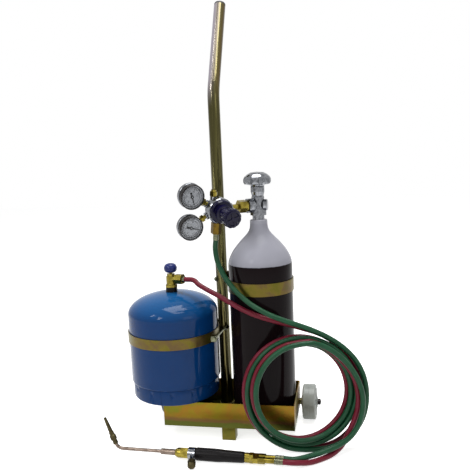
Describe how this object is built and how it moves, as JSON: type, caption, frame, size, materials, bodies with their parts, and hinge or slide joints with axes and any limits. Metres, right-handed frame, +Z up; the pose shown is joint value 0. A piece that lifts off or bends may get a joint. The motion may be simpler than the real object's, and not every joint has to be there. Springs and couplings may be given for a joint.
{
  "type": "oxy fuel welding cart",
  "caption": "Small wheeled sheet-metal cart with a bent tube handle that carries an oxygen cylinder, a butane bottle, a gauge regulator, coiled twin hoses and a brazing torch.",
  "frame": {"origin": "middle of the underside of the folded front foot, on the floor that the wheels and the foot stand on", "axes": "+X to the right as seen from the front (the oxygen cylinder side), +Y to the back, where the handle leans, +Z up"},
  "size_m": [0.5504, 0.3954, 0.9858],
  "materials": {
    "zinc_sheet": "yellow zinc plating with purple patches",
    "zinc_tube": "olive zinc plating, satin",
    "zinc_strap": "yellow zinc plating",
    "bolt_steel": "bright zinc plating",
    "dark_steel": "dull",
    "nylon": "off-white, slightly glossy",
    "black_plastic": "matt",
    "cylinder_paint": "black with a light grey shoulder, gloss",
    "neck_steel": "ground steel",
    "chrome": "polished",
    "bottle_paint": "blue, gloss",
    "navy_plastic": "dark blue",
    "blue_plastic": "bright blue",
    "brass": "machined",
    "inner_steel": "plain",
    "black_rubber": "matt",
    "dial_white": "white",
    "window": "clear",
    "green_rubber": "matt",
    "red_rubber": "matt",
    "copper": "copper, heat marks",
    "dark_brass": "dull, dark"
  },
  "bodies": {
    "cart": {"tray": "zinc_sheet", "front_foot": "zinc_sheet", "axle_bolts": "dark_steel", "axle_spacers": "zinc_tube", "axle_nuts": "dark_steel", "handle_tube": "zinc_tube", "tube_cap": "black_plastic", "oxygen_strap": "zinc_strap", "butane_strap": "zinc_strap", "strap_bolts": "bolt_steel", "oxygen_cylinder": "cylinder_paint", "oxygen_neck_ring": "neck_steel", "oxygen_valve_body": "chrome", "oxygen_valve_bonnet": "chrome", "regulator_inlet_stem": "brass", "regulator_inlet_nut": "brass", "regulator_body": "chrome", "regulator_ring_nut": "chrome", "regulator_bonnet": "navy_plastic", "regulator_diaphragm": "black_rubber", "regulator_spring": "inner_steel", "regulator_relief_valve": "brass", "regulator_outlet_nut": "brass", "gauge_stems": "brass", "high_gauge_case": "chrome", "high_gauge_dial": "dial_white", "high_gauge_window": "window", "low_gauge_case": "chrome", "low_gauge_dial": "dial_white", "low_gauge_window": "window", "butane_bottle": "bottle_paint", "butane_foot_ring": "bottle_paint", "butane_valve_collar": "black_plastic", "butane_valve_body": "brass", "butane_outlet_nut": "brass", "hose_ferrules": "bolt_steel", "torch_grip": "black_plastic", "torch_valve_block": "brass", "torch_front_nut": "brass", "torch_lance": "copper", "torch_nozzle": "copper", "torch_tail_block": "brass", "torch_hose_nuts": "brass", "green_hose_lead": "green_rubber", "green_hose_coil": "green_rubber", "green_hose_tail": "green_rubber", "red_hose_lead": "red_rubber", "red_hose_coil": "red_rubber", "red_hose_tail": "red_rubber"},
    "left_wheel": {"wheel_left": "nylon"},
    "right_wheel": {"wheel_right": "nylon"},
    "handwheel": {"oxygen_handwheel": "chrome", "oxygen_valve_spindle": "inner_steel"},
    "pressure_knob": {"regulator_knob": "navy_plastic", "regulator_screw": "inner_steel"},
    "high_needle": {"high_gauge_needle": "black_plastic"},
    "low_needle": {"low_gauge_needle": "black_plastic"},
    "tap_knob": {"butane_valve_knob": "blue_plastic"},
    "torch_valve": {"torch_valve_knob": "dark_brass"}
  },
  "joints": [
    {"name": "left_wheel_spin", "type": "hinge", "parent": "cart", "child": "left_wheel", "pos_m": [-0.168, 0.117, 0.04], "axis": [1, 0, 0], "continuous": true},
    {"name": "right_wheel_spin", "type": "hinge", "parent": "cart", "child": "right_wheel", "pos_m": [0.168, 0.117, 0.04], "axis": [1, 0, 0], "continuous": true},
    {"name": "handwheel_turn", "type": "hinge", "parent": "cart", "child": "handwheel", "pos_m": [0.072, 0.0605, 0.5518], "axis": [0, 0, 1], "range_deg": [0, 540]},
    {"name": "pressure_knob_turn", "type": "hinge", "parent": "cart", "child": "pressure_knob", "pos_m": [0.03499, -0.05131, 0.49289], "axis": [0.6022, -0.7708, -0.2079], "range_deg": [0, 720]},
    {"name": "high_needle_swing", "type": "hinge", "parent": "cart", "child": "high_needle", "pos_m": [-0.0442, -0.05065, 0.5371], "axis": [-0.6022, 0.7708, 0.2079], "range_deg": [0, 270]},
    {"name": "low_needle_swing", "type": "hinge", "parent": "cart", "child": "low_needle", "pos_m": [-0.05265, -0.03984, 0.47254], "axis": [-0.6022, 0.7708, 0.2079], "range_deg": [0, 270]},
    {"name": "tap_knob_turn", "type": "hinge", "parent": "cart", "child": "tap_knob", "pos_m": [-0.13348, 0.0605, 0.373], "axis": [0, 0, 1], "range_deg": [0, 360]},
    {"name": "torch_valve_turn", "type": "hinge", "parent": "cart", "child": "torch_valve", "pos_m": [-0.05103, -0.13672, 0.01052], "axis": [0.2413, -0.9679, -0.0698], "range_deg": [0, 540]}
  ]
}
